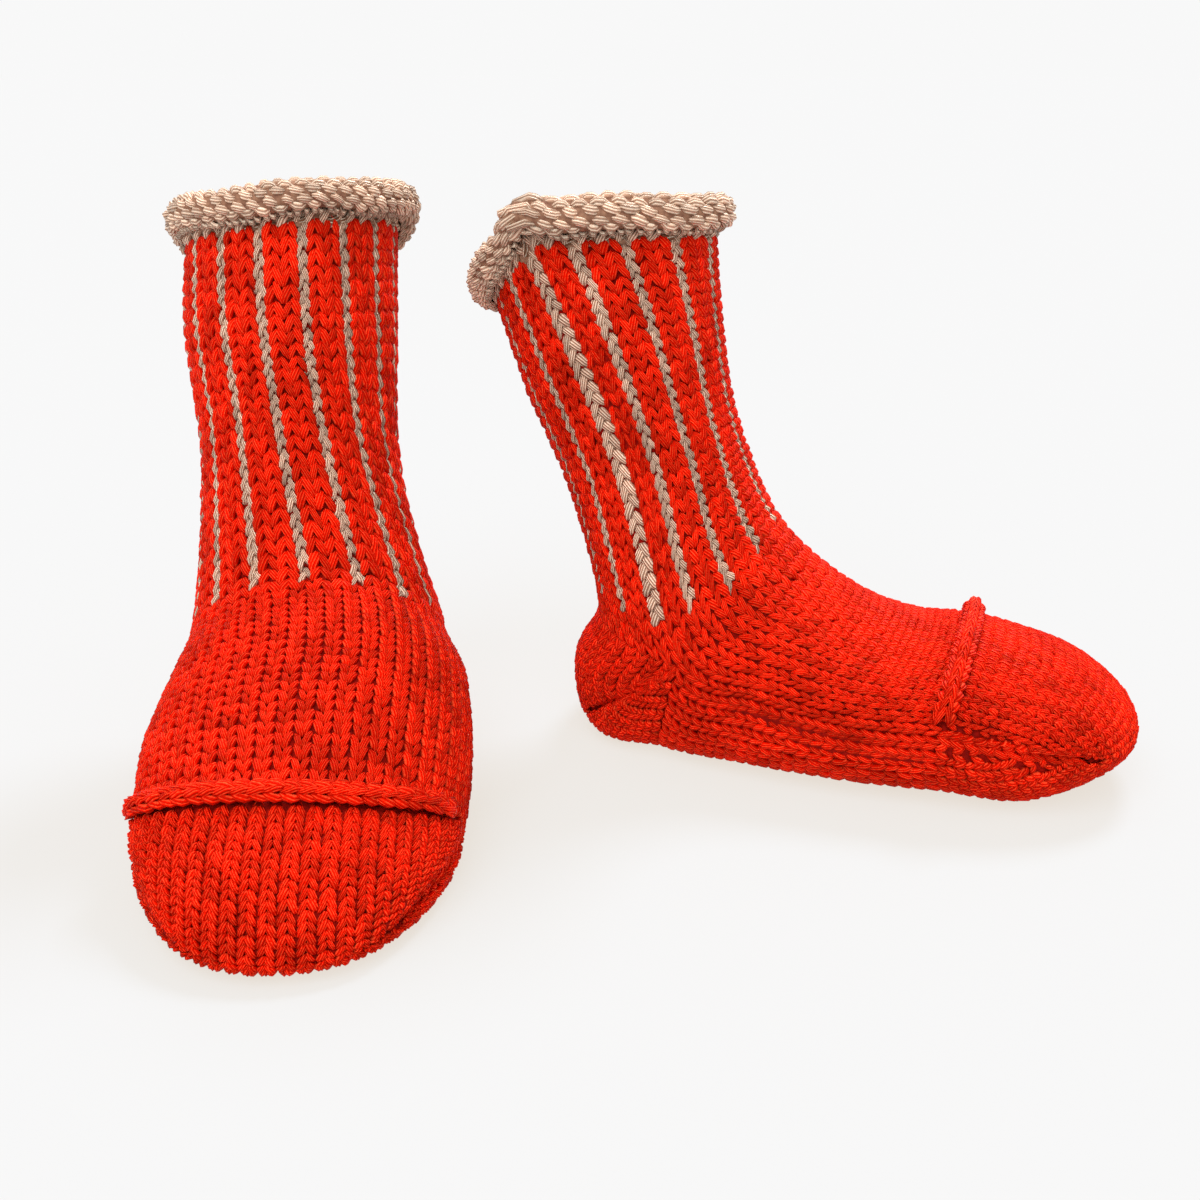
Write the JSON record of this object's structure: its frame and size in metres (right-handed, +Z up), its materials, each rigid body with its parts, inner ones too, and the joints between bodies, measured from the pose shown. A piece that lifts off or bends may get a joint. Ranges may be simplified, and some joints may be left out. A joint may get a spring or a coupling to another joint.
{
  "type": "pair of knitted baby socks",
  "caption": "Hand-knitted baby socks standing side by side, hollow, with a rolled beige cuff, striped ribbed leg, pocket heel and a raised seam over the toe cap.",
  "frame": {"origin": "middle of the pair's footprint, on the floor that both soles rest on", "axes": "+Z up; +X from the sock seen from its front to the sock seen from its side; -Y towards the picture's viewer"},
  "size_m": [0.201, 0.1388, 0.1168],
  "materials": {
    "red_yarn": "matte knitted wool",
    "beige_yarn": "matte knitted wool"
  },
  "bodies": {
    "root": {"left_cuff_roll": "beige_yarn", "left_leg": "red_yarn", "left_foot": "red_yarn", "left_toe": "red_yarn", "left_toe_seam": "red_yarn", "right_cuff_roll": "beige_yarn", "right_leg": "red_yarn", "right_foot": "red_yarn", "right_toe": "red_yarn", "right_toe_seam": "red_yarn"}
  },
  "joints": []
}
